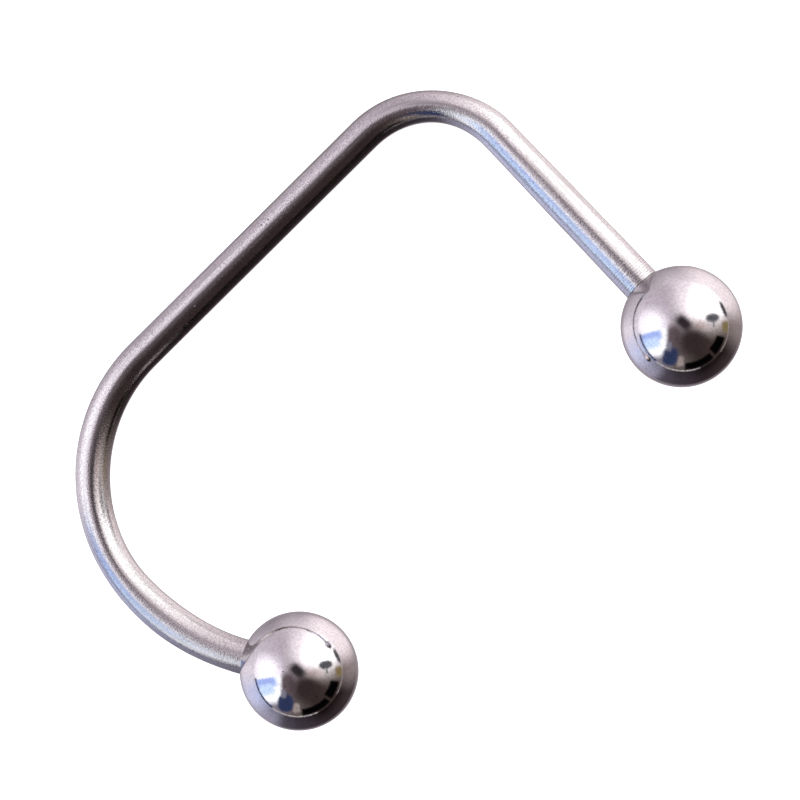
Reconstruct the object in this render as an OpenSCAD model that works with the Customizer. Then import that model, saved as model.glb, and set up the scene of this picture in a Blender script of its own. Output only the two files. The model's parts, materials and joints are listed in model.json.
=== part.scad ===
// Lip ring: one piece of round steel wire bent to a hook, with a screw-on ball at each end.
// It lies on its side, on both balls and on the tight bend, with the table at z = 0.
// The wire is drawn flat first, from the middle of the post's ball, then tilted until it rests.

/* [Wire] */
// Diameter of the wire, 16 gauge
wire_d = 1.2; // [1:0.1:1.6]
// Straight post that goes through the lip, from the middle of its ball to the tight bend
post_len = 8.9; // [7:0.1:12]
// Radius of the tight right-angle bend, at the middle of the wire
bend_r = 3.25; // [2:0.05:5]
// Straight back, from the tight bend to the wide curve
back_len = 10.7; // [8:0.1:14]
// Radius of the wide right-angle curve that goes round the lip, at the middle of the wire
curve_r = 5.65; // [4.5:0.05:7]
// Radius of the slacker tail that follows the curve, at the middle of the wire
tail_r = 8; // [6:0.1:10]
// Angle that the tail turns through
tail_angle = 33.5; // [25:0.5:40]

/* [Balls] */
// Diameter of each ball
ball_d = 4; // [3.5:0.1:5]
// Height of the cap that is faced off flat around the ball's hole
flat_cut = 0.11; // [0.1:0.01:0.2]
// Depth of the hole's straight wall, from the flat
hole_depth = 2.1; // [2.1:0.1:2.4]
// Gap between the wire and the hole's wall
hole_gap = 0.015; // [0.01:0.005:0.03]
// Length of full wire that goes into the hole
wire_entry = 0.06; // [0.02:0.01:0.1]

/* [Thread] */
// Pitch of the thread on each end of the wire
thread_pitch = 0.25; // [0.2:0.05:0.25]
// Depth of the thread
thread_depth = 0.15; // [0.1:0.01:0.2]
// Number of turns
thread_turns = 7; // [4:1:7]

/* [Hidden] */
$fn = 64;

// The thread's crests stand clear of the hole, which is as wide as the wire and its gap
crest_gap = 0.015;
// Share of the pitch that is flat in a groove, while the crests are sharp
groove_share = 0.25;
// Plain neck between the wire and the first crest
neck_len = 0.06;
// Half the angle of the drill's point, at the bottom of the hole
drill_half_angle = 59;

wire_r = wire_d / 2;
ball_r = ball_d / 2;
hole_r = wire_r + hole_gap;
crest_r = wire_r - crest_gap;
root_r = crest_r - thread_depth;
// Places along a wire end, from the middle of its ball
flat_at = ball_r - flat_cut;
shoulder_at = flat_at - wire_entry;

// Where the bends' middles and the curve's ball lie, with the post's ball at [0, 0]
function toward(angle) = [cos(angle), sin(angle)];
tail_end = 180 + tail_angle;
bend_mid = [-bend_r, post_len];
curve_mid = bend_mid + [-back_len, bend_r - curve_r];
tail_mid = curve_mid + [tail_r - curve_r, 0];
curve_ball_mid = tail_mid + tail_r * toward(tail_end) + shoulder_at * toward(tail_end + 90);

// The tilt about the line through both balls that brings the far side of the wire down to the table
along = curve_ball_mid / norm(curve_ball_mid);
across = [along.y, -along.x];
far_side = max(bend_mid * across + bend_r, curve_mid * across + curve_r);
tilt = asin((ball_r - wire_r) / far_side);

// How far a tilted bend reaches in a level direction
function level(dir) = (dir * along) * along + cos(tilt) * (dir * across) * across;
function reach(mid, r, dir) = mid * level(dir) + r * norm(level(dir)) + wire_r;
left = reach(curve_mid, curve_r, [-1, 0]);
back = max(reach(bend_mid, bend_r, [0, 1]), reach(curve_mid, curve_r, [0, 1]));
front = max(0, -curve_ball_mid.y) + ball_r;
middle = [(ball_r - left) / 2, (back - front) / 2];

// Outline of the thread, as rings: a neck, a row of crests and a chamfered tip
crest_len = thread_pitch * (1 - groove_share);
function crest(y) = [[root_r, y], [crest_r, y + crest_len / 2], [root_r, y + crest_len]];
thread_len = neck_len + thread_turns * thread_pitch;
tip_chamfer = thread_depth / 2;
thread_outline = concat(
    [[0, 0], [root_r, 0]],
    [for (turn = [0:thread_turns - 1]) each crest(neck_len + turn * thread_pitch)],
    [[root_r, thread_len], [root_r - tip_chamfer, thread_len + tip_chamfer], [0, thread_len + tip_chamfer]]
);

// Brings the flat drawing to rest on the table, with the whole object's middle over the origin
module at_rest() {
    translate([-middle.x, -middle.y, ball_r])
        rotate(a = tilt, v = [along.x, along.y, 0])
            children();
}

// A straight length of wire along +Y, with what follows at its end
module straight(length) {
    rotate([-90, 0, 0]) cylinder(h = length, r = wire_r);
    translate([0, length, 0]) children();
}

// A bend to the left in wire that starts along +Y, with what follows at its end
module bend(r, angle) {
    translate([-r, 0, 0]) {
        rotate_extrude(angle = angle) translate([r, 0]) circle(r = wire_r);
        rotate([0, 0, angle]) translate([r, 0, 0]) children();
    }
}

// The thread at a wire end, along +Y
module thread() {
    rotate([-90, 0, 0]) rotate_extrude() polygon(thread_outline);
}

// A ball round the origin, with its hole open to +Y
module ball() {
    difference() {
        sphere(r = ball_r);
        translate([-ball_r, flat_at, -ball_r]) cube(ball_d);
        translate([0, flat_at + flat_cut, 0]) rotate([90, 0, 0]) {
            cylinder(h = flat_cut + hole_depth, r = hole_r);
            translate([0, 0, flat_cut + hole_depth])
                cylinder(h = hole_r / tan(drill_half_angle), r1 = hole_r, r2 = 0);
        }
    }
}

// The bent wire: post, tight bend, back, wide curve and tail, with a thread at each end
module bar() {
    color("lightgray") at_rest() {
        translate([0, shoulder_at, 0]) {
            mirror([0, 1, 0]) thread();
            straight(post_len - shoulder_at)
                bend(bend_r, 90)
                    straight(back_len)
                        bend(curve_r, 90)
                            bend(tail_r, tail_angle)
                                thread();
        }
    }
}

// The ball that the post screws into, inside the lip
module post_ball() {
    color("gainsboro") at_rest() ball();
}

// The ball at the end of the curve, in front of the lip
module curve_ball() {
    color("gainsboro") at_rest()
        translate([curve_ball_mid.x, curve_ball_mid.y, 0])
            rotate([0, 0, tail_end + 180])
                ball();
}

bar();
post_ball();
curve_ball();
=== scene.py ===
"""Lip ring: a hook of drawn steel wire with a polished screw-on ball at each end, lying on its side.

Each operator below makes one piece or group, or the stage, round the frame that is loaded here.
The wire and the balls are modelled in a flat drawing, with the middle of the post's ball at the
origin and the post along +Y, and each is then moved to the place where the frame has it.
"""

import json
import math
from collections import namedtuple

import bmesh
import bpy
from bpy.props import FloatProperty, FloatVectorProperty, PointerProperty
from mathutils import Matrix, Vector


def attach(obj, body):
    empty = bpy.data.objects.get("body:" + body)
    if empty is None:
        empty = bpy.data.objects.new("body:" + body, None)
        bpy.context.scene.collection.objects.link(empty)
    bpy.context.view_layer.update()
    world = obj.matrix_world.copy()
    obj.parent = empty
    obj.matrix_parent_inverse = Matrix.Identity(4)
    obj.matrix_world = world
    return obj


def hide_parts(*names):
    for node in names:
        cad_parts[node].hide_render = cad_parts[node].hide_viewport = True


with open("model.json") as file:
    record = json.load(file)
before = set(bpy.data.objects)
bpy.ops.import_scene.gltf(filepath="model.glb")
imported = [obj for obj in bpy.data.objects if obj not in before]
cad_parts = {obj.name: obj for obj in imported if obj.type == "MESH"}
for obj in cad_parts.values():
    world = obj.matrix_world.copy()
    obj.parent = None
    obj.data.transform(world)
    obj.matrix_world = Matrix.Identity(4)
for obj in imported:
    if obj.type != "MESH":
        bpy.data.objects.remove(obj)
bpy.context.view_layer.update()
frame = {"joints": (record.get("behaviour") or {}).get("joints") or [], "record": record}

bl_info = {
    "name": "Lip Ring",
    "version": (1, 0, 0),
    "blender": (4, 5, 0),
    "location": "3D View > Sidebar > Lip Ring",
    "description": "Models a hook-shaped lip ring of bent steel wire with two screw-on balls",
    "category": "Object",
}

MM = 0.001
# Points closer together than this are one point
TOUCHING = 0.0005 * MM
Y_AXIS, Z_AXIS = Vector((0, 1, 0)), Vector((0, 0, 1))
# Faces that meet at less than this angle are shaded as one surface
SMOOTH_ANGLE = math.radians(40)


# Sizes and colours that a user would change


class WireSizes(bpy.types.PropertyGroup):
    """Sizes of the bent wire"""

    diameter: FloatProperty(
        name="Diameter", description="Diameter of the drawn wire, 16 gauge",
        default=1.2 * MM, unit="LENGTH", precision=5)
    post: FloatProperty(
        name="Post", description="From the middle of the post's ball to the tight bend",
        default=8.9 * MM, unit="LENGTH", precision=5)
    bend: FloatProperty(
        name="Tight bend", description="Radius of the tight bend, at the middle of the wire",
        default=3.25 * MM, unit="LENGTH", precision=5)
    back: FloatProperty(
        name="Back", description="Length of the straight back",
        default=10.7 * MM, unit="LENGTH", precision=5)
    curve: FloatProperty(
        name="Wide curve", description="Radius of the curve that goes round the lip",
        default=5.65 * MM, unit="LENGTH", precision=5)
    tail: FloatProperty(
        name="Tail", description="Radius of the slacker tail after the curve",
        default=8 * MM, unit="LENGTH", precision=5)
    tail_angle: FloatProperty(
        name="Tail angle", description="Angle that the tail turns through",
        default=math.radians(33.5), subtype="ANGLE")
    entry: FloatProperty(
        name="Entry", description="Length of full wire inside each ball's hole",
        default=0.06 * MM, unit="LENGTH", precision=5)


class ThreadSizes(bpy.types.PropertyGroup):
    """Sizes of the thread on each wire end, and of the one in each ball"""

    pitch: FloatProperty(
        name="Pitch", description="Distance from one turn of the thread to the next",
        default=0.25 * MM, unit="LENGTH", precision=5)
    depth: FloatProperty(
        name="Depth", description="Depth of the thread on the wire",
        default=0.15 * MM, unit="LENGTH", precision=5)
    length: FloatProperty(
        name="Length", description="Length of the thread on the wire",
        default=1.88 * MM, unit="LENGTH", precision=5)
    gap: FloatProperty(
        name="Gap", description="Gap between a ball and what is in its hole",
        default=0.015 * MM, unit="LENGTH", precision=5)
    tapped: FloatProperty(
        name="Tapped depth", description="Depth of the grooves that are tapped in a ball's hole",
        default=0.07 * MM, unit="LENGTH", precision=5)


class BallSizes(bpy.types.PropertyGroup):
    """Sizes of each ball"""

    diameter: FloatProperty(
        name="Diameter", description="Diameter of a ball",
        default=4 * MM, unit="LENGTH", precision=5)
    flat: FloatProperty(
        name="Flat", description="Height of the cap that is faced off round the hole",
        default=0.11 * MM, unit="LENGTH", precision=5)
    hole: FloatProperty(
        name="Hole depth", description="Depth of the hole's straight wall, from the flat",
        default=2.1 * MM, unit="LENGTH", precision=5)
    mouth: FloatProperty(
        name="Mouth depth", description="Depth of the smooth mouth before the thread in the hole",
        default=0.12 * MM, unit="LENGTH", precision=5)


class SteelColours(bpy.types.PropertyGroup):
    """Colours of the steel"""

    wire: FloatVectorProperty(
        name="Wire", description="Clean drawn steel, as linear colour",
        size=3, subtype="COLOR", min=0, max=1, default=(0.66, 0.63, 0.635))
    grime: FloatVectorProperty(
        name="Grime", description="Steel darkened in pits and between turning marks",
        size=3, subtype="COLOR", min=0, max=1, default=(0.12, 0.10, 0.10))
    ball: FloatVectorProperty(
        name="Ball", description="Mirror-polished steel, as linear colour",
        size=3, subtype="COLOR", min=0, max=1, default=(0.72, 0.69, 0.705))


class StageSettings(bpy.types.PropertyGroup):
    """Where the camera stands, and how strong the light is"""

    target: FloatVectorProperty(
        name="Target", description="Point in the middle of the picture",
        size=3, subtype="XYZ", unit="LENGTH", precision=5, default=(0.535 * MM, -0.546 * MM, 1.0 * MM))
    azimuth: FloatProperty(
        name="Azimuth", description="Direction of the camera round the object",
        default=math.radians(66.109), subtype="ANGLE")
    elevation: FloatProperty(
        name="Elevation", description="Height of the camera above the horizon, as an angle",
        default=math.radians(81.139), subtype="ANGLE")
    roll: FloatProperty(
        name="Roll", description="Turn of the camera about its line of sight",
        default=math.radians(-110.105), subtype="ANGLE")
    distance: FloatProperty(
        name="Distance", description="From the camera to its target",
        default=100 * MM, unit="LENGTH", precision=4)
    lens: FloatProperty(
        name="Lens", description="Focal length on a sensor 36 mm wide",
        default=133.757, unit="CAMERA")
    light: FloatProperty(
        name="Light", description="Strength of the studio's light",
        default=1.48, min=0)
    floor: FloatProperty(
        name="Floor", description="Radius of the round pale floor",
        default=0.4, unit="LENGTH")
    floor_lift: FloatProperty(
        name="Floor lift", description="Even light that keeps the floor pale under the object",
        default=0.9, min=0)


# Route of the wire in the flat drawing


Stretch = namedtuple("Stretch", "start heading length radius")


def to_left(heading):
    """The level direction to the left of a heading."""
    return Vector((-heading.y, heading.x, 0))


def end_of(stretch, along=None):
    """Place and heading at a distance along a stretch, or at its end."""
    along = stretch.length if along is None else along
    if not stretch.radius:
        return stretch.start + along * stretch.heading, stretch.heading
    middle = stretch.start + stretch.radius * to_left(stretch.heading)
    turn = Matrix.Rotation(along / stretch.radius, 3, "Z")
    return middle + turn @ (stretch.start - middle), turn @ stretch.heading


def wire_route():
    """The stretches of full wire, from inside the post's ball to inside the curve's ball."""
    wire = bpy.context.scene.lip_ring_wire
    start = Vector((0, shoulder(), 0))
    heading = Y_AXIS
    stretches = []
    for length, radius in (
        (wire.post - shoulder(), 0),
        (wire.bend * math.pi / 2, wire.bend),
        (wire.back, 0),
        (wire.curve * math.pi / 2, wire.curve),
        (wire.tail * wire.tail_angle, wire.tail),
    ):
        stretches.append(Stretch(start, heading, length, radius))
        start, heading = end_of(stretches[-1])
    return stretches


def shoulder():
    """Distance from the middle of a ball to where full wire begins."""
    return ball_flat() - bpy.context.scene.lip_ring_wire.entry


def ball_flat():
    """Distance from the middle of a ball to its flat."""
    ball = bpy.context.scene.lip_ring_ball
    return ball.diameter / 2 - ball.flat


def rest():
    """The matrix that lays the flat drawing down as the jewel lies, from the frame's joints and mounts."""
    out = {joint["name"]: Vector(joint["axis"]).normalized() for joint in frame["joints"]}
    mounts = {mount["name"]: Vector(mount["pos_m"]) for mount in frame["record"]["mounts"]}
    down_post = out["post_ball_unscrew"]
    normal = down_post.cross(out["curve_ball_unscrew"]).normalized()
    side = (-down_post).cross(normal)
    place = Matrix((side, -down_post, normal)).transposed().to_4x4()
    place.translation = mounts["post_thread"] + shoulder() * down_post
    return place


def turned_to(place, heading):
    """The matrix that carries a piece from the origin and +Y to a place and heading in the flat drawing."""
    matrix = Matrix((-to_left(heading), heading, Z_AXIS)).transposed().to_4x4()
    matrix.translation = place
    return matrix


def straightened(stretches, point):
    """Where a point of the bent wire would be if the wire were straight: sideways, up and along it."""
    best = None
    passed = 0
    for number, stretch in enumerate(stretches):
        offset = point - stretch.start
        if stretch.radius:
            left = to_left(stretch.heading)
            spoke = offset - stretch.radius * left
            along = stretch.radius * math.atan2(spoke.dot(stretch.heading), -spoke.dot(left))
            sideways = spoke.xy.length - stretch.radius
        else:
            along = offset.dot(stretch.heading)
            sideways = -offset.dot(to_left(stretch.heading))
        early = -along if number > 0 else 0
        late = along - stretch.length if number < len(stretches) - 1 else 0
        miss = max(early, late, 0) + abs(sideways)
        if best is None or miss < best[0]:
            best = (miss, Vector((sideways, point.z, passed + along)))
        passed += stretch.length
    return best[1]


# Small helps for modelling


def choose(piece):
    """Makes a piece the active and only selected one."""
    bpy.ops.object.select_all(action="DESELECT")
    piece.select_set(True)
    bpy.context.view_layer.objects.active = piece


def start_editing(piece):
    """Opens a piece in edit mode, with nothing of it selected."""
    choose(piece)
    bpy.ops.object.mode_set(mode="EDIT")
    bpy.ops.mesh.select_mode(type="VERT")
    bpy.ops.mesh.select_all(action="DESELECT")


def stop_editing():
    bpy.ops.object.mode_set(mode="OBJECT")


def new_piece(name):
    """Names the primitive that was just added and brings its place into its mesh."""
    piece = bpy.context.active_object
    piece.name = name
    piece.data.name = name
    bpy.ops.object.transform_apply(location=True, rotation=True, scale=True)
    return piece


def push(step):
    """Extrudes what is selected by a step."""
    bpy.ops.mesh.extrude_region_move(TRANSFORM_OT_translate={"value": step})


def widen(shares, middle):
    """Scales what is selected about its middle, by a share for each axis."""
    bpy.ops.transform.resize(value=shares, center_override=middle)


def follow(height, radius, outline):
    """Takes a selected ring round the Y axis through each height and radius of an outline."""
    for next_height, next_radius in outline:
        push((0, next_height - height, 0))
        share = next_radius / radius
        widen((share, 1, share), (0, next_height, 0))
        height, radius = next_height, next_radius


def finish_with(piece, kind, **settings):
    """Adds a modifier with its settings and applies it."""
    choose(piece)
    modifier = piece.modifiers.new(kind.title(), kind)
    for name, value in settings.items():
        setattr(modifier, name, value)
    bpy.ops.object.modifier_apply(modifier=modifier.name)


def cut_or_join(piece, tool, operation):
    """Joins a tool to a piece, cuts it away or keeps what both hold, and removes the tool."""
    finish_with(piece, "BOOLEAN", object=tool, operation=operation, solver="EXACT")
    mesh = tool.data
    bpy.data.objects.remove(tool)
    bpy.data.meshes.remove(mesh)
    face_outwards(piece)
    drop_idle_points(piece)


def drop_idle_points(piece):
    """Dissolves the points in the middle of an edge, which a boolean leaves and which export as slivers."""
    mesh = bmesh.new()
    mesh.from_mesh(piece.data)
    idle = [point for point in mesh.verts if len(point.link_edges) == 2]
    bmesh.ops.dissolve_verts(mesh, verts=idle)
    mesh.to_mesh(piece.data)
    mesh.free()


def lay_down(piece, matrix):
    """Moves a piece to its place and brings that place into its mesh."""
    piece.matrix_world = matrix
    choose(piece)
    bpy.ops.object.transform_apply(location=True, rotation=True, scale=True)


def face_outwards(piece):
    """Closes what is double and turns all faces outwards."""
    start_editing(piece)
    bpy.ops.mesh.select_all(action="SELECT")
    bpy.ops.mesh.remove_doubles(threshold=TOUCHING)
    bpy.ops.mesh.normals_make_consistent(inside=False)
    stop_editing()


# Pieces of steel


Girth = namedtuple("Girth", "along across high")

# Full wire enters each ball at its true diameter, and then steps up to the post's own, in millimetres
STEP_FROM, STEP_TO = 0.06, 0.075
# How far the wire departs from its diameter, by millimetres from the post's end: across the wire in
# the hook's plane, then out of that plane. The post is thicker towards its ball, the tight bend
# flattened as it was bent, and the curve has a waist and a swelling.
GIRTHS = (
    Girth(STEP_FROM, 1, 1),
    Girth(STEP_TO, 1.065, 1.065),
    Girth(3.5, 1.03, 1.03),
    Girth(7, 0.985, 0.985),
    Girth(9.6, 0.9, 1.03),
    Girth(12.2, 0.955, 0.98),
    Girth(22, 0.955, 0.98),
    Girth(26, 1, 0.99),
    Girth(30.5, 0.96, 1.02),
    Girth(33.5, 1.05, 1),
    Girth(36, 1, 1),
)
# Turned rings beside the post's ball: where they are, how far apart, and their depth as a share of
# the wire's diameter, which differs from one to the next
RINGS_FROM, RINGS_TO = 0.09 * MM, 1.15 * MM
RING_SPACING = 0.09 * MM
RING_DEPTH = 0.002
RING_CHANGE = 2.3
# Sections that the wire is made of: points round each, and the space between them on plain wire and
# where it was turned
SIDES = 64
PLAIN_SPACING = 0.2 * MM
TURNED_SPACING = RING_SPACING / 6


def girth_at(along):
    """Shares of the diameter across and out of the hook's plane, at a distance from the post's end."""
    before, after = GIRTHS[0], GIRTHS[0]
    for girth in GIRTHS:
        before, after = after, girth
        if girth.along * MM > along:
            break
    gap = (after.along - before.along) * MM
    share = min(max((along - before.along * MM) / gap, 0), 1) if gap else 0
    ease = share * share * (3 - 2 * share)
    across = before.across + ease * (after.across - before.across)
    high = before.high + ease * (after.high - before.high)
    if RINGS_FROM < along < RINGS_TO:
        turn = (along - RINGS_FROM) / RING_SPACING
        uneven = 0.5 + 0.5 * math.sin(RING_CHANGE * math.floor(turn))
        groove = RING_DEPTH * uneven * (1 - math.cos(2 * math.pi * turn)) / 2
        across -= groove
        high -= groove
    return across, high


def wire_stations(stretch, passed):
    """Distances along a stretch at which the wire gets a section, closer together where it was turned."""
    distances = [0.0]
    if passed == 0:
        distances += [STEP_FROM * MM, STEP_TO * MM, RINGS_FROM]
        while distances[-1] < RINGS_TO:
            distances.append(distances[-1] + TURNED_SPACING)
    left = stretch.length - distances[-1]
    steps = math.ceil(left / PLAIN_SPACING)
    distances += [distances[-1] + left * step / steps for step in range(1, steps + 1)]
    return distances


def make_bent_wire():
    """Pushes and spins a round section along the whole route, and threads both ends."""
    sizes = bpy.context.scene.lip_ring_wire
    stretches = wire_route()
    bpy.ops.mesh.primitive_circle_add(
        vertices=SIDES, radius=sizes.diameter / 2, location=stretches[0].start,
        rotation=(math.pi / 2, 0, 0))
    wire = new_piece("bent_wire")
    start_editing(wire)
    bpy.ops.mesh.select_all(action="SELECT")
    across, high = 1.0, 1.0
    passed = 0
    for stretch in stretches:
        distances = wire_stations(stretch, passed)
        for before, after in zip(distances, distances[1:]):
            if stretch.radius:
                # A negative angle spins to the left
                bpy.ops.mesh.spin(
                    steps=1, angle=(before - after) / stretch.radius, axis=Z_AXIS,
                    center=stretch.start + stretch.radius * to_left(stretch.heading))
            else:
                push((after - before) * stretch.heading)
            new_across, new_high = girth_at(passed + after)
            shares = (new_across / across, new_across / across, new_high / high)
            widen(shares, end_of(stretch, after)[0])
            across, high = new_across, new_high
        passed += stretch.length
    bpy.ops.mesh.select_all(action="DESELECT")
    bpy.ops.mesh.select_non_manifold()
    bpy.ops.mesh.edge_face_add()
    bpy.ops.mesh.poke()
    stop_editing()
    face_outwards(wire)
    # Each stub is joined on while its end of the wire lies at the origin, where a boolean is cleanest
    for place, way in ((stretches[0].start, -Y_AXIS), end_of(stretches[-1])):
        matrix = turned_to(place, way)
        lay_down(wire, matrix.inverted())
        cut_or_join(wire, make_threaded_stub(), "UNION")
        lay_down(wire, matrix)
    return wire


# The tooth of a thread, as shares of the pitch: its rise, its flat crest, its fall and the flat groove
TOOTH_RISE, TOOTH_CREST, TOOTH_GROOVE = 0.35, 0.05, 0.25
STEPS_IN_TURN = 48


def make_helix(name, root, crest, length):
    """A screw thread along +Y from the origin, made by sweeping one tooth round the axis."""
    pitch = bpy.context.scene.lip_ring_thread.pitch
    bpy.ops.mesh.primitive_plane_add(size=pitch, location=(root, -pitch, 0))
    helix = new_piece(name)
    start_editing(helix)
    bpy.ops.mesh.select_all(action="SELECT")
    bpy.ops.mesh.merge(type="CENTER")
    height = crest - root
    for out, up in ((height, TOOTH_RISE), (0, TOOTH_CREST), (-height, TOOTH_RISE), (0, TOOTH_GROOVE)):
        bpy.ops.mesh.extrude_vertices_move(TRANSFORM_OT_translate={"value": (out, up * pitch, 0)})
    stop_editing()
    # One turn more at each end, where it is cut flat
    turns = math.ceil(length / pitch) + 2
    finish_with(
        helix, "SCREW", axis="Y", angle=2 * math.pi, steps=STEPS_IN_TURN, render_steps=STEPS_IN_TURN,
        screw_offset=pitch, iterations=turns)
    start_editing(helix)
    bpy.ops.mesh.select_all(action="SELECT")
    bpy.ops.mesh.remove_doubles(threshold=TOUCHING)
    for cut, inwards in ((0, 1), (length, -1)):
        bpy.ops.mesh.select_all(action="SELECT")
        bpy.ops.mesh.bisect(
            plane_co=(0, cut, 0), plane_no=(0, inwards, 0), use_fill=True, clear_inner=True,
            threshold=TOUCHING)
    stop_editing()
    face_outwards(helix)
    return helix


def make_threaded_stub():
    """The thread on a wire end, along +Y, cut on a blank with a neck and a chamfered tip."""
    thread = bpy.context.scene.lip_ring_thread
    wire = bpy.context.scene.lip_ring_wire
    crest = wire.diameter / 2 - thread.gap
    root = crest - thread.depth
    # The blank is narrower than the thread's core at both ends, and wider than its crests between them
    end_radius = root - 0.01 * MM
    wide_radius = crest + 0.02 * MM
    # It starts inside the wire
    inside = 0.05 * MM
    neck = 0.06 * MM
    chamfer = 0.12 * MM
    bpy.ops.mesh.primitive_circle_add(
        vertices=SIDES, radius=end_radius, location=(0, -inside, 0), rotation=(math.pi / 2, 0, 0),
        fill_type="NGON")
    blank = new_piece("blank")
    start_editing(blank)
    bpy.ops.mesh.select_all(action="SELECT")
    follow(-inside, end_radius, (
        (neck, end_radius),
        (neck + thread.depth, wide_radius),
        (thread.length - chamfer, wide_radius),
        (thread.length, end_radius),
    ))
    stop_editing()
    face_outwards(blank)
    helix = make_helix("helix", root, crest, thread.length + inside + neck)
    lay_down(helix, Matrix.Translation((0, -inside - neck / 2, 0)))
    cut_or_join(blank, helix, "INTERSECT")
    return blank


def make_ball():
    """A ball round the origin with its flat, mouth and tapped hole open to +Y."""
    ball = bpy.context.scene.lip_ring_ball
    thread = bpy.context.scene.lip_ring_thread
    wire = bpy.context.scene.lip_ring_wire
    flat_at = ball_flat()
    flat_radius = math.sqrt((ball.diameter / 2) ** 2 - flat_at ** 2)
    mouth_radius = wire.diameter / 2 + thread.gap
    bore_radius = wire.diameter / 2
    chamfer = 0.02 * MM
    # The drill's point, which stops short of a true point so that the ring keeps a width until it is merged
    point_height = bore_radius * math.tan(math.radians(31))
    point_radius = bore_radius * 0.02
    bpy.ops.mesh.primitive_uv_sphere_add(
        segments=128, ring_count=64, radius=ball.diameter / 2, rotation=(-math.pi / 2, 0, 0))
    piece = new_piece("ball")
    start_editing(piece)
    bpy.ops.mesh.select_all(action="SELECT")
    bpy.ops.mesh.bisect(
        plane_co=(0, flat_at, 0), plane_no=Y_AXIS, use_fill=True, clear_outer=True, threshold=TOUCHING)
    bpy.ops.mesh.select_all(action="DESELECT")
    mesh = bmesh.from_edit_mesh(piece.data)
    for face in mesh.faces:
        if face.calc_center_median().y > flat_at - TOUCHING:
            face.select_set(True)
    bmesh.update_edit_mesh(piece.data)
    follow(flat_at, flat_radius, (
        (flat_at, mouth_radius + chamfer),
        (flat_at - chamfer, mouth_radius),
        (flat_at - ball.mouth, mouth_radius),
        (flat_at - ball.mouth, bore_radius),
        (flat_at - ball.hole, bore_radius),
        (flat_at - ball.hole - point_height, point_radius),
    ))
    bpy.ops.mesh.merge(type="CENTER")
    stop_editing()
    face_outwards(piece)
    tap = make_helix(
        "tap", bore_radius - thread.tapped, bore_radius + thread.tapped, ball.hole - ball.mouth)
    # Its end isn't flush with the foot of the hole's wall, so that the two don't share a plane
    lay_down(tap, Matrix.Translation((0, flat_at - ball.hole - 0.01 * MM, 0)))
    cut_or_join(piece, tap, "DIFFERENCE")
    return piece


# Materials


def linear(hex_colour):
    """Turns an sRGB hex value to the linear colour that a shader takes."""
    shares = [int(hex_colour[place:place + 2], 16) / 255 for place in (1, 3, 5)]
    return tuple(s / 12.92 if s <= 0.04045 else ((s + 0.055) / 1.055) ** 2.4 for s in shares)


def add_node(tree, kind, settings=None, inputs=None):
    """Adds a node, sets its properties, and gives each named input a value or another node's output."""
    node = tree.nodes.new(kind)
    for name, value in (settings or {}).items():
        setattr(node, name, value)
    for name, value in (inputs or {}).items():
        if isinstance(value, bpy.types.NodeSocket):
            tree.links.new(value, node.inputs[name])
        else:
            node.inputs[name].default_value = value
    return node


def new_material(name):
    """A material with an empty node tree and its output node."""
    material = bpy.data.materials.new(name)
    material.use_nodes = True
    material.node_tree.nodes.clear()
    output = material.node_tree.nodes.new("ShaderNodeOutputMaterial")
    return material, material.node_tree, output


def rgba(colour):
    return (*colour, 1)


# Steel keeps less light at a grazing angle than the shader's plain fade to white
STEEL_EDGE = (0.66, 0.66, 0.66, 1)

Nick = namedtuple("Nick", "sideways up along size")

# Small dents in the wire, in millimetres in the straightened wire
NICKS = (
    Nick(-0.20, 0.56, 1.12, 0.05),
    Nick(-0.12, 0.58, 0.86, 0.04),
    Nick(-0.08, 0.59, 0.56, 0.05),
    Nick(-0.02, 0.6, 0.36, 0.04),
    Nick(0.12, 0.57, 16.45, 0.05),
    Nick(0.02, 0.58, 16.6, 0.04),
    Nick(0.15, 0.56, 16.75, 0.045),
    Nick(-0.2, 0.55, 20.3, 0.035),
)


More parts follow.
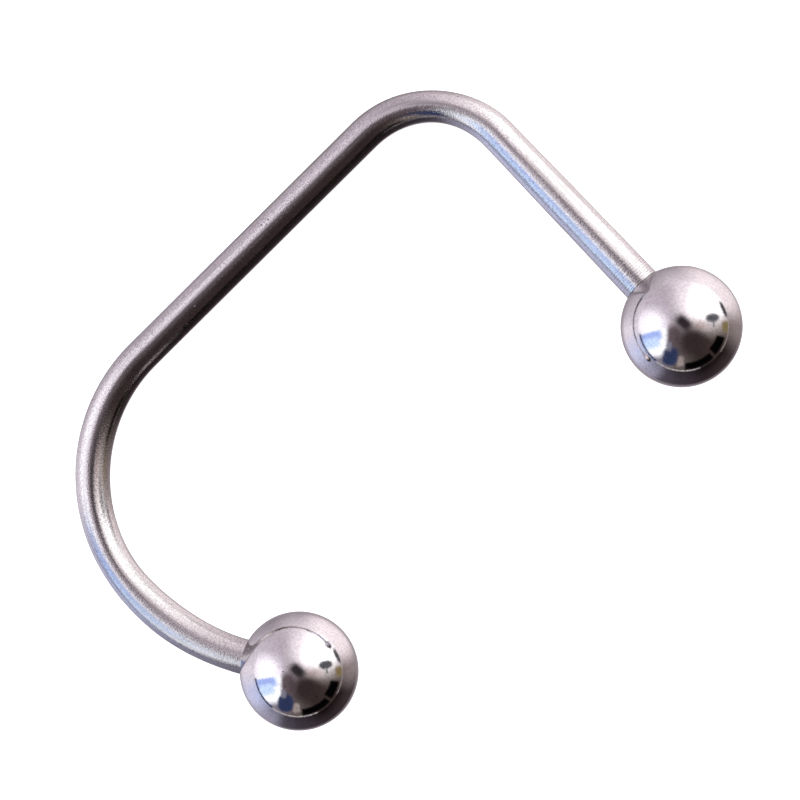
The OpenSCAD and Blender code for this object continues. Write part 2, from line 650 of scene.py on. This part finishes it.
def drawn_steel_wire():
    """Drawn 316L wire, satin from the die, with fine grain along it, pits and turning marks."""
    colours = bpy.context.scene.lip_ring_colours
    material, tree, output = new_material("Drawn 316L wire, satin")
    place = add_node(tree, "ShaderNodeAttribute", {"attribute_name": "straightened"}).outputs["Vector"]
    # Die lines run along the wire, about 0.06 mm apart and some 2 mm long
    stretched = add_node(tree, "ShaderNodeMapping", inputs={"Vector": place, "Scale": (16, 16, 0.5)})
    die_lines = add_node(tree, "ShaderNodeTexNoise", inputs={
        "Vector": stretched.outputs[0], "Scale": 1.0, "Detail": 3.0, "Roughness": 0.6})
    # Grain of the pickled surface, drawn at 0.06 mm where the real one is finer, so that it shows
    grain = add_node(tree, "ShaderNodeTexNoise", inputs={
        "Vector": place, "Scale": 17.0, "Detail": 2.0, "Roughness": 0.75})
    # Handling leaves duller and brighter patches about 1 mm long
    patches = add_node(tree, "ShaderNodeTexNoise", inputs={
        "Vector": place, "Scale": 1.3, "Detail": 2.0, "Roughness": 0.5})
    # Pits up to 0.05 mm across, each cell of half a millimetre with one of its own size
    pits = add_node(tree, "ShaderNodeTexVoronoi", inputs={"Vector": place, "Scale": 2.2})
    pit_size = add_node(tree, "ShaderNodeSeparateColor", inputs={"Color": pits.outputs["Color"]})
    pit_edge = add_node(tree, "ShaderNodeMath", {"operation": "MULTIPLY_ADD"}, {
        0: pit_size.outputs[0], 1: 0.2, 2: -0.12})
    pit_depth = add_node(tree, "ShaderNodeMath", {"operation": "SUBTRACT"}, {
        0: pit_edge.outputs[0], 1: pits.outputs["Distance"]})
    pit_depth = add_node(tree, "ShaderNodeMapRange", {"interpolation_type": "SMOOTHSTEP"}, {
        "Value": pit_depth.outputs[0], "From Min": -0.02, "From Max": 0.02, "To Min": 0.0, "To Max": 1.0})
    depth = pit_depth.outputs[0]
    for nick in NICKS:
        distance = add_node(tree, "ShaderNodeVectorMath", {"operation": "DISTANCE"}, {
            0: place, 1: (nick.sideways, nick.up, nick.along)})
        dent = add_node(tree, "ShaderNodeMapRange", {"interpolation_type": "SMOOTHSTEP"}, {
            "Value": distance.outputs["Value"], "From Min": nick.size * 0.3, "From Max": nick.size,
            "To Min": 1.0, "To Max": 0.0})
        depth = add_node(tree, "ShaderNodeMath", {"operation": "MAXIMUM"}, {
            0: depth, 1: dent.outputs[0]}).outputs[0]
    # Turning marks beside the post's ball
    along = add_node(tree, "ShaderNodeSeparateXYZ", inputs={"Vector": place}).outputs["Z"]
    wobble = add_node(tree, "ShaderNodeMath", {"operation": "MULTIPLY"}, {0: patches.outputs[0], 1: 9.0})
    wave = add_node(tree, "ShaderNodeMath", {"operation": "MULTIPLY_ADD"}, {
        0: along, 1: 2 * math.pi * MM / RING_SPACING, 2: wobble.outputs[0]})
    sine = add_node(tree, "ShaderNodeMath", {"operation": "SINE"}, {0: wave.outputs[0]})
    ripple = add_node(tree, "ShaderNodeMapRange", {"interpolation_type": "SMOOTHSTEP"}, {
        "Value": sine.outputs[0], "From Min": 0.3, "From Max": 1.0, "To Min": 0.0, "To Max": 1.0})
    turned = add_node(tree, "ShaderNodeMapRange", {"interpolation_type": "SMOOTHSTEP"}, {
        "Value": along, "From Min": RINGS_TO / MM - 0.5, "From Max": RINGS_TO / MM + 0.1,
        "To Min": 1.0, "To Max": 0.0})
    marks = add_node(tree, "ShaderNodeMath", {"operation": "MULTIPLY"}, {
        0: ripple.outputs[0], 1: turned.outputs[0]})
    # Colour: clean steel, a little darker in the grain, the die lines and the marks, dark in the pits
    speckle = add_node(tree, "ShaderNodeMapRange", inputs={
        "Value": grain.outputs[0], "From Min": 0.44, "From Max": 0.64, "To Min": 0.0, "To Max": 0.42})
    streaked = add_node(tree, "ShaderNodeMapping", inputs={"Vector": place, "Scale": (7, 7, 0.22)})
    streaks = add_node(tree, "ShaderNodeTexNoise", inputs={
        "Vector": streaked.outputs[0], "Scale": 1.0, "Detail": 2.0, "Roughness": 0.6})
    streak = add_node(tree, "ShaderNodeMapRange", inputs={
        "Value": streaks.outputs[0], "From Min": 0.48, "From Max": 0.72, "To Min": 0.0, "To Max": 0.5})
    dirt = add_node(tree, "ShaderNodeMath", {"operation": "MAXIMUM"}, {
        0: speckle.outputs[0], 1: streak.outputs[0]})
    marked = add_node(tree, "ShaderNodeMath", {"operation": "MULTIPLY_ADD"}, {
        0: marks.outputs[0], 1: 0.3, 2: dirt.outputs[0]})
    # The tail is duller, where it is held while its ball is screwed on
    held = add_node(tree, "ShaderNodeMapRange", {"interpolation_type": "SMOOTHSTEP"}, {
        "Value": along, "From Min": 27.0, "From Max": 33.5, "To Min": 0.0, "To Max": 0.1})
    dulled = add_node(tree, "ShaderNodeMath", {"operation": "ADD", "use_clamp": True}, {
        0: marked.outputs[0], 1: held.outputs[0]})
    pitted = add_node(tree, "ShaderNodeMath", {"operation": "MULTIPLY_ADD", "use_clamp": True}, {
        0: depth, 1: 0.7, 2: dulled.outputs[0]})
    colour = add_node(tree, "ShaderNodeMix", {"data_type": "RGBA"}, {
        0: pitted.outputs[0], 6: rgba(colours.wire), 7: rgba(colours.grime)})
    roughness = add_node(tree, "ShaderNodeMapRange", inputs={
        "Value": patches.outputs[0], "From Min": 0.3, "From Max": 0.7, "To Min": 0.12, "To Max": 0.2})
    # Relief: the die lines and the grain stand about a thousandth of a millimetre high
    lines = add_node(tree, "ShaderNodeBump", inputs={
        "Height": die_lines.outputs[0], "Distance": 0.002 * MM, "Strength": 1.0})
    grained = add_node(tree, "ShaderNodeBump", inputs={
        "Height": grain.outputs[0], "Distance": 0.0055 * MM, "Strength": 1.0, "Normal": lines.outputs[0]})
    dented = add_node(tree, "ShaderNodeBump", {"invert": True}, {
        "Height": depth, "Distance": 0.012 * MM, "Strength": 0.8, "Normal": grained.outputs[0]})
    shader = add_node(tree, "ShaderNodeBsdfPrincipled", inputs={
        "Base Color": colour.outputs[2], "Metallic": 1.0, "Roughness": roughness.outputs[0],
        "Specular Tint": STEEL_EDGE, "Normal": dented.outputs[0]})
    tree.links.new(shader.outputs[0], output.inputs["Surface"])
    return material


def polished_steel():
    """Mirror-polished 316L, with a breath of haze, hairline scratches and a few pits."""
    colours = bpy.context.scene.lip_ring_colours
    material, tree, output = new_material("Mirror-polished 316L")
    place = add_node(tree, "ShaderNodeTexCoord").outputs["Object"]
    millimetres = add_node(tree, "ShaderNodeMapping", inputs={"Vector": place, "Scale": (1000, 1000, 1000)})
    haze = add_node(tree, "ShaderNodeTexNoise", inputs={
        "Vector": millimetres.outputs[0], "Scale": 0.9, "Detail": 3.0, "Roughness": 0.55})
    # Polishing hairlines, 0.03 mm apart and a few millimetres long, two ways
    first = add_node(tree, "ShaderNodeMapping", inputs={
        "Vector": place, "Rotation": (0.4, 0.2, 0.7), "Scale": (30000, 900, 900)})
    second = add_node(tree, "ShaderNodeMapping", inputs={
        "Vector": place, "Rotation": (-0.3, 0.9, 2.2), "Scale": (24000, 700, 700)})
    first_lines = add_node(tree, "ShaderNodeTexNoise", inputs={
        "Vector": first.outputs[0], "Scale": 1.0, "Detail": 2.0})
    second_lines = add_node(tree, "ShaderNodeTexNoise", inputs={
        "Vector": second.outputs[0], "Scale": 1.0, "Detail": 2.0})
    scratches = add_node(tree, "ShaderNodeMath", {"operation": "ADD"}, {
        0: first_lines.outputs[0], 1: second_lines.outputs[0]})
    pits = add_node(tree, "ShaderNodeTexVoronoi", inputs={"Vector": millimetres.outputs[0], "Scale": 1.4})
    pit_depth = add_node(tree, "ShaderNodeMapRange", {"interpolation_type": "SMOOTHSTEP"}, {
        "Value": pits.outputs["Distance"], "From Min": 0.02, "From Max": 0.05, "To Min": 1.0, "To Max": 0.0})
    # A film of fine dust and finger marks takes some of the shine
    film = add_node(tree, "ShaderNodeTexNoise", inputs={
        "Vector": millimetres.outputs[0], "Scale": 11.0, "Detail": 3.0, "Roughness": 0.75})
    dulled = add_node(tree, "ShaderNodeMapRange", inputs={
        "Value": film.outputs[0], "From Min": 0.42, "From Max": 0.66, "To Min": 0.0, "To Max": 0.24})
    dull = add_node(tree, "ShaderNodeMath", {"operation": "MAXIMUM"}, {
        0: dulled.outputs[0], 1: pit_depth.outputs[0]})
    colour = add_node(tree, "ShaderNodeMix", {"data_type": "RGBA"}, {
        0: dull.outputs[0], 6: rgba(colours.ball), 7: rgba(colours.grime)})
    roughness = add_node(tree, "ShaderNodeMapRange", inputs={
        "Value": haze.outputs[0], "From Min": 0.35, "From Max": 0.7, "To Min": 0.04, "To Max": 0.12})
    filmed = add_node(tree, "ShaderNodeBump", inputs={
        "Height": film.outputs[0], "Distance": 0.0012 * MM, "Strength": 1.0})
    scratched = add_node(tree, "ShaderNodeBump", inputs={
        "Height": scratches.outputs[0], "Distance": 0.0004 * MM, "Strength": 1.0,
        "Normal": filmed.outputs[0]})
    shader = add_node(tree, "ShaderNodeBsdfPrincipled", inputs={
        "Base Color": colour.outputs[2], "Metallic": 1.0, "Roughness": roughness.outputs[0],
        "Specular Tint": STEEL_EDGE, "Normal": scratched.outputs[0]})
    tree.links.new(shader.outputs[0], output.inputs["Surface"])
    return material


def matt_card():
    """Matt white card, evenly lit so that only a faint contact shadow is left."""
    stage = bpy.context.scene.lip_ring_stage
    material, tree, output = new_material("Matt white card")
    fibres = add_node(tree, "ShaderNodeTexNoise", inputs={
        "Vector": add_node(tree, "ShaderNodeTexCoord").outputs["Object"], "Scale": 4000.0, "Detail": 2.0})
    tone = add_node(tree, "ShaderNodeMapRange", inputs={
        "Value": fibres.outputs[0], "To Min": 0.8, "To Max": 0.84})
    shader = add_node(tree, "ShaderNodeBsdfPrincipled", inputs={
        "Base Color": tone.outputs[0], "Roughness": 0.9, "Specular IOR Level": 0.0,
        "Emission Color": (1, 1, 1, 1), "Emission Strength": stage.floor_lift})
    tree.links.new(shader.outputs[0], output.inputs["Surface"])
    material.cycles.emission_sampling = "NONE"
    return material


# Studio light


Card = namedtuple("Card", "name x y half_width half_height turn square soft colour strength")
Band = namedtuple("Band", "name start end inner outer soft colour")
Tone = namedtuple("Tone", "around colour")

# The light is set out as it shows on a chrome ball seen from the camera: x and y run from -1 to 1
# across the ball, and tones and bands go round it, by degrees from the right. A band also has its
# distances from the middle. Softness is a share of a card's size, and a distance for a band.
ROOM_TONES = (
    Tone(0, "#7A6F69"),
    Tone(25, "#E2DCDC"),
    Tone(55, "#EEE6EA"),
    Tone(90, "#D8CCD5"),
    Tone(120, "#B8AEB7"),
    Tone(150, "#C0B6C2"),
    Tone(180, "#DED6E2"),
    Tone(215, "#DCDCE8"),
    Tone(238, "#7E7A86"),
    Tone(265, "#605857"),
    Tone(300, "#332A29"),
    Tone(325, "#3C3230"),
    Tone(343, "#5A504B"),
)
# The middle of the room, behind the camera
MIDDLE_TONE, MIDDLE_RADIUS = "#8E8488", 0.4
# The table with its light and shade painted in, by its near edge and then by what lies straight away from
# the camera. It is pale where the softboxes light it, and its dark tones from 255 to 330 degrees are painted
# shade, which takes in the jewel's own contact shadow on the table.
TABLE_LIGHT_AND_SHADE = (
    Tone(0, "#786B6A"),
    Tone(30, "#F2E8EA"),
    Tone(60, "#FFF8FA"),
    Tone(95, "#D6CCD2"),
    Tone(125, "#B9B0B8"),
    Tone(180, "#DAD5DF"),
    Tone(210, "#B6C0E2"),
    Tone(240, "#757688"),
    Tone(255, "#3E3B43"),
    Tone(270, "#302B31"),
    Tone(300, "#0C0809"),
    Tone(330, "#151010"),
)
FAR_TABLE_LIGHT_AND_SHADE = (
    Tone(0, "#9C9191"),
    Tone(30, "#FFF4F6"),
    Tone(60, "#FCEFF3"),
    Tone(95, "#A89FA6"),
    Tone(125, "#8F878E"),
    Tone(160, "#B9B2BA"),
    Tone(185, "#F0E8F2"),
    Tone(210, "#DCDEF6"),
    Tone(240, "#ACA9BC"),
    Tone(256, "#56515C"),
    Tone(272, "#464048"),
    Tone(300, "#3A3133"),
    Tone(330, "#483E3F"),
)
TABLE_EDGE, TABLE_EDGE_SOFT = 0.735, 0.01
# The middle of the table, straight away from the camera
AWAY_TONE, AWAY_EDGE, AWAY_EDGE_SOFT = "#ACA4AA", 0.97, 0.03
# Softness of a band's ends, as a share of the full turn
BAND_END_SOFT = 0.005
CARDS = (
    Card("main glow", 0.32, 0.39, 0.34, 0.33, -20, 2.5, 0.8, "#FFFAFC", 1.15),
    Card("main softbox", 0.36, 0.36, 0.27, 0.24, -15, 4, 0.35, "#FFFFFF", 1.4),
    Card("side softbox", -0.53, 0.04, 0.20, 0.20, 0, 2, 0.8, "#FAF8FF", 1.25),
    Card("low softbox", -0.47, -0.26, 0.21, 0.24, 0, 4, 0.25, "#F6FAFF", 1.2),
    Card("window", -0.53, -0.18, 0.17, 0.08, 14, 5, 0.3, "#A3B9F4", 1.0),
    Card("lower window", -0.52, -0.29, 0.13, 0.09, 14, 4, 0.5, "#C4DCFF", 1.1),
    Card("dark wall", -0.17, -0.19, 0.11, 0.21, 0, 3, 0.4, "#5E5256", 1.0),
    Card("pale wall", 0.26, -0.01, 0.13, 0.08, 0, 2, 0.8, "#CCBCBA", 1.0),
    Card("dark doorway", 0.13, -0.25, 0.22, 0.22, 12, 2.5, 0.6, "#33292A", 1.0),
    Card("pale door", -0.04, -0.58, 0.06, 0.08, 10, 4, 0.3, "#968C88", 1.0),
    Card("blue flag", -0.21, -0.50, 0.13, 0.15, 0, 2.5, 0.2, "#2C3656", 1.0),
    Card("blue flag's stand", -0.24, -0.34, 0.04, 0.07, 0, 4, 0.4, "#7A7A88", 1.0),
    Card("dark flag", 0.46, 0.13, 0.115, 0.07, 6, 2.2, 0.25, "#55565C", 1.0),
    Card("dark flag's stand", 0.48, 0.03, 0.015, 0.05, 0, 4, 0.4, "#6A6A6C", 1.0),
    Card("narrow flag", 0.65, 0.265, 0.03, 0.14, 25, 2.5, 0.3, "#3C3C42", 1.0),
    Card("warm card", 0.68, 0.0, 0.06, 0.08, 0, 4, 0.4, "#7C6F4C", 1.0),
    Card("camera port", -0.01, 0.05, 0.09, 0.14, 50, 3, 0.5, "#2E282C", 1.0),
)
BANDS = (
    Band("black curtain", 274, 316, 0.60, 0.715, 0.02, "#040304"),
    Band("black curtain's fold", 319, 346, 0.55, 0.70, 0.02, "#040304"),
    Band("near edge", 234, 294, 0.726, 0.737, 0.005, "#D4D0CE"),
    Band("side edge", 294, 328, 0.727, 0.735, 0.005, "#3E3A38"),
    Band("right edge", 328, 372, 0.727, 0.736, 0.005, "#A8A4A2"),
    Band("far edge", 190, 234, 0.705, 0.736, 0.008, "#2E3A5C"),
)


def photo_axes():
    """Right, up and towards the camera, as seen in the picture."""
    stage = bpy.context.scene.lip_ring_stage
    level = math.cos(stage.elevation)
    towards = Vector((
        math.sin(stage.azimuth) * level, -math.cos(stage.azimuth) * level, math.sin(stage.elevation)))
    right = Z_AXIS.cross(towards).normalized()
    up = towards.cross(right)
    roll = Matrix.Rotation(stage.roll, 3, towards)
    return roll @ right, roll @ up, towards


def ramp(tree, share, tones):
    """Colours round the ball, each by its degrees, joined smoothly and closed at the full turn."""
    node = add_node(tree, "ShaderNodeValToRGB", inputs={"Fac": share})
    stops = node.color_ramp.elements
    stops[0].position, stops[1].position = tones[0].around / 360, 1
    stops[0].color = stops[1].color = rgba(linear(tones[0].colour))
    for tone in tones[1:]:
        stops.new(tone.around / 360).color = rgba(linear(tone.colour))
    node.color_ramp.interpolation = "EASE"
    return node.outputs["Color"]


def lay_over(tree, below, mask, colour, strength=1.0):
    """One colour laid over another where a mask says so."""
    shade = tuple(strength * share for share in linear(colour))
    mix = add_node(tree, "ShaderNodeMix", {"data_type": "RGBA"}, {0: mask, 6: below, 7: rgba(shade)})
    return mix.outputs[2]


def softened(tree, distance, edge, soft):
    """A mask that is 1 below an edge and 0 above it."""
    node = add_node(tree, "ShaderNodeMapRange", {"interpolation_type": "SMOOTHSTEP"}, {
        "Value": distance, "From Min": edge - soft, "From Max": edge + soft, "To Min": 1.0, "To Max": 0.0})
    return node.outputs[0]


def combined(tree, operation, first, second):
    """The result of a sum on two values."""
    return add_node(tree, "ShaderNodeMath", {"operation": operation}, {0: first, 1: second}).outputs[0]


def make_light():
    """A world that holds the room's soft light, its softboxes and flags, and the table below them, with the
    table's light and shade and the jewel's contact shadow on it painted in.
    """
    stage = bpy.context.scene.lip_ring_stage
    world = bpy.data.worlds.new("Soft studio")
    bpy.context.scene.world = world
    world.use_nodes = True
    tree = world.node_tree
    tree.nodes.clear()
    direction = add_node(tree, "ShaderNodeTexCoord").outputs["Generated"]
    sides = [
        add_node(tree, "ShaderNodeVectorMath", {"operation": "DOT_PRODUCT"}, {
            0: direction, 1: axis}).outputs["Value"]
        for axis in photo_axes()
    ]
    # Where a chrome ball shows this direction. A little over 2 keeps the root from going to nothing.
    doubled = add_node(tree, "ShaderNodeMath", {"operation": "MULTIPLY_ADD"}, {
        0: sides[2], 1: 2.0, 2: 2.0001})
    scale = add_node(tree, "ShaderNodeMath", {"operation": "INVERSE_SQRT"}, {
        0: doubled.outputs[0]}).outputs[0]
    x = combined(tree, "MULTIPLY", sides[0], scale)
    y = combined(tree, "MULTIPLY", sides[1], scale)
    on_ball = add_node(tree, "ShaderNodeCombineXYZ", inputs={"X": x, "Y": y}).outputs[0]
    out = add_node(tree, "ShaderNodeVectorMath", {"operation": "LENGTH"}, {0: on_ball}).outputs["Value"]
    turned = combined(tree, "DIVIDE", combined(tree, "ARCTAN2", y, x), 2 * math.pi)
    around = add_node(tree, "ShaderNodeMath", {"operation": "FRACT"}, {0: turned}).outputs[0]
    room = ramp(tree, around, ROOM_TONES)
    room = lay_over(tree, room, softened(tree, out, MIDDLE_RADIUS / 2, MIDDLE_RADIUS / 2), MIDDLE_TONE)
    for card in CARDS:
        local = add_node(tree, "ShaderNodeMapping", {"vector_type": "TEXTURE"}, {
            "Vector": on_ball, "Location": (card.x, card.y, 0), "Rotation": (0, 0, math.radians(card.turn)),
            "Scale": (card.half_width, card.half_height, 1)})
        flat = add_node(tree, "ShaderNodeVectorMath", {"operation": "ABSOLUTE"}, {0: local.outputs[0]})
        parts = add_node(tree, "ShaderNodeSeparateXYZ", inputs={"Vector": flat.outputs[0]})
        powers = [combined(tree, "POWER", parts.outputs[axis], card.square) for axis in ("X", "Y")]
        edge = combined(tree, "POWER", combined(tree, "ADD", *powers), 1 / card.square)
        room = lay_over(tree, room, softened(tree, edge, 1.0, card.soft), card.colour, card.strength)
    # The table below the horizon, with its painted light and shade and the jewel's painted contact shadow
    far = add_node(tree, "ShaderNodeMapRange", inputs={
        "Value": out, "From Min": TABLE_EDGE, "From Max": 1.0})
    table = add_node(tree, "ShaderNodeMix", {"data_type": "RGBA"}, {
        0: far.outputs[0], 6: ramp(tree, around, TABLE_LIGHT_AND_SHADE), 7: ramp(tree, around, FAR_TABLE_LIGHT_AND_SHADE)}).outputs[2]
    near = softened(tree, out, AWAY_EDGE, AWAY_EDGE_SOFT)
    table = add_node(tree, "ShaderNodeMix", {"data_type": "RGBA"}, {
        0: near, 6: rgba(linear(AWAY_TONE)), 7: table}).outputs[2]
    above = softened(tree, out, TABLE_EDGE, TABLE_EDGE_SOFT)
    whole = add_node(tree, "ShaderNodeMix", {"data_type": "RGBA"}, {0: above, 6: table, 7: room}).outputs[2]
    for band in BANDS:
        middle = (band.inner + band.outer) / 2
        off = add_node(tree, "ShaderNodeMath", {"operation": "ABSOLUTE"}, {
            0: combined(tree, "SUBTRACT", out, middle)}).outputs[0]
        ring = softened(tree, off, (band.outer - band.inner) / 2, band.soft)
        past = combined(tree, "SUBTRACT", around, (band.start + band.end) / 2 / 360)
        wrapped = add_node(tree, "ShaderNodeMath", {"operation": "WRAP"}, {
            0: past, 1: 0.5, 2: -0.5}).outputs[0]
        away = add_node(tree, "ShaderNodeMath", {"operation": "ABSOLUTE"}, {0: wrapped}).outputs[0]
        stretch = softened(tree, away, (band.end - band.start) / 2 / 360, BAND_END_SOFT)
        whole = lay_over(tree, whole, combined(tree, "MULTIPLY", ring, stretch), band.colour)
    light = add_node(tree, "ShaderNodeBackground", inputs={"Color": whole, "Strength": stage.light})
    backdrop = add_node(tree, "ShaderNodeBackground", inputs={"Color": (1, 1, 1, 1), "Strength": 1.0})
    seen = add_node(tree, "ShaderNodeLightPath").outputs["Is Camera Ray"]
    mixed = add_node(tree, "ShaderNodeMixShader", inputs={
        0: seen, 1: light.outputs[0], 2: backdrop.outputs[0]})
    add_node(tree, "ShaderNodeOutputWorld", inputs={"Surface": mixed.outputs[0]})


# Floor and camera


FLOOR_SIDES = 96
# The sensor's width in millimetres, and how near and how far the camera sees
SENSOR_WIDTH = 36
NEAREST, FARTHEST = 1 * MM, 10


def make_floor():
    """A round pale floor. The steel reflects the studio's own table instead of it, whose light and shade,
    with the jewel's contact shadow on it, are painted into the world.
    """
    stage = bpy.context.scene.lip_ring_stage
    bpy.ops.mesh.primitive_circle_add(vertices=FLOOR_SIDES, radius=stage.floor, fill_type="NGON")
    floor = new_piece("pale_floor")
    floor.data.materials.append(matt_card())
    floor.visible_glossy = False
    floor.visible_shadow = False


def make_camera():
    """A camera at the picture's angle to the jewel."""
    stage = bpy.context.scene.lip_ring_stage
    right, up, towards = photo_axes()
    place = Matrix((right, up, towards)).transposed().to_4x4()
    place.translation = Vector(stage.target) + stage.distance * towards
    bpy.ops.object.camera_add()
    camera = bpy.context.active_object
    camera.name = "camera"
    camera.matrix_world = place
    camera.data.lens = stage.lens
    camera.data.sensor_width = SENSOR_WIDTH
    camera.data.clip_start = NEAREST
    camera.data.clip_end = FARTHEST
    bpy.context.scene.camera = camera


# Operators


class LIPRING_OT_bent_wire(bpy.types.Operator):
    """Model the bent wire with its threaded ends"""

    bl_idname = "lip_ring.bent_wire"
    bl_label = "Bent Wire"

    def execute(self, context):
        wire = make_bent_wire()
        stretches = wire_route()
        places = [straightened(stretches, vertex.co) / MM for vertex in wire.data.vertices]
        attribute = wire.data.attributes.new("straightened", "FLOAT_VECTOR", "POINT")
        attribute.data.foreach_set("vector", [part for place in places for part in place])
        wire.data.materials.clear()
        wire.data.materials.append(drawn_steel_wire())
        lay_down(wire, rest())
        bpy.ops.object.shade_smooth_by_angle(angle=SMOOTH_ANGLE)
        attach(wire, "bar")
        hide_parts("bar")
        return {"FINISHED"}


class LIPRING_OT_balls(bpy.types.Operator):
    """Model the two screw-on balls"""

    bl_idname = "lip_ring.balls"
    bl_label = "Balls"

    def execute(self, context):
        first = make_ball()
        first.data.materials.clear()
        first.data.materials.append(polished_steel())
        second = first.copy()
        second.data = first.data.copy()
        context.collection.objects.link(second)
        end, heading = end_of(wire_route()[-1])
        for ball, node, middle, open_to in (
            (first, "post_ball", Vector((0, 0, 0)), Y_AXIS),
            (second, "curve_ball", end + shoulder() * heading, -heading),
        ):
            lay_down(ball, rest() @ turned_to(middle, open_to))
            bpy.ops.object.shade_smooth_by_angle(angle=SMOOTH_ANGLE)
            ball.name = "polished_" + node
            ball.data.name = ball.name
            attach(ball, node)
            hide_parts(node)
        return {"FINISHED"}


class LIPRING_OT_stage(bpy.types.Operator):
    """Set up the pale floor, the soft light and the camera"""

    bl_idname = "lip_ring.stage"
    bl_label = "Stage"

    def execute(self, context):
        make_floor()
        make_light()
        make_camera()
        context.scene.view_settings.view_transform = "Standard"
        return {"FINISHED"}


class LIPRING_PT_sidebar(bpy.types.Panel):
    """Lists the operators and sizes of the lip ring"""

    bl_idname = "LIPRING_PT_sidebar"
    bl_label = "Lip Ring"
    bl_space_type = "VIEW_3D"
    bl_region_type = "UI"
    bl_category = "Lip Ring"

    def draw(self, context):
        for operator in (LIPRING_OT_bent_wire, LIPRING_OT_balls, LIPRING_OT_stage):
            self.layout.operator(operator.bl_idname)
        for name, group in GROUPS.items():
            box = self.layout.box()
            box.label(text=group.__doc__)
            for size in group.__annotations__:
                box.prop(getattr(context.scene, name), size)


GROUPS = {
    "lip_ring_wire": WireSizes,
    "lip_ring_thread": ThreadSizes,
    "lip_ring_ball": BallSizes,
    "lip_ring_colours": SteelColours,
    "lip_ring_stage": StageSettings,
}
CLASSES = (*GROUPS.values(), LIPRING_OT_bent_wire, LIPRING_OT_balls, LIPRING_OT_stage, LIPRING_PT_sidebar)


def register():
    for kind in CLASSES:
        bpy.utils.register_class(kind)
    for name, group in GROUPS.items():
        setattr(bpy.types.Scene, name, PointerProperty(type=group))


def unregister():
    for name in GROUPS:
        delattr(bpy.types.Scene, name)
    for kind in reversed(CLASSES):
        bpy.utils.unregister_class(kind)


def main():
    register()
    bpy.ops.lip_ring.bent_wire()
    bpy.ops.lip_ring.balls()
    bpy.ops.lip_ring.stage()


if __name__ == "__main__":
    main()
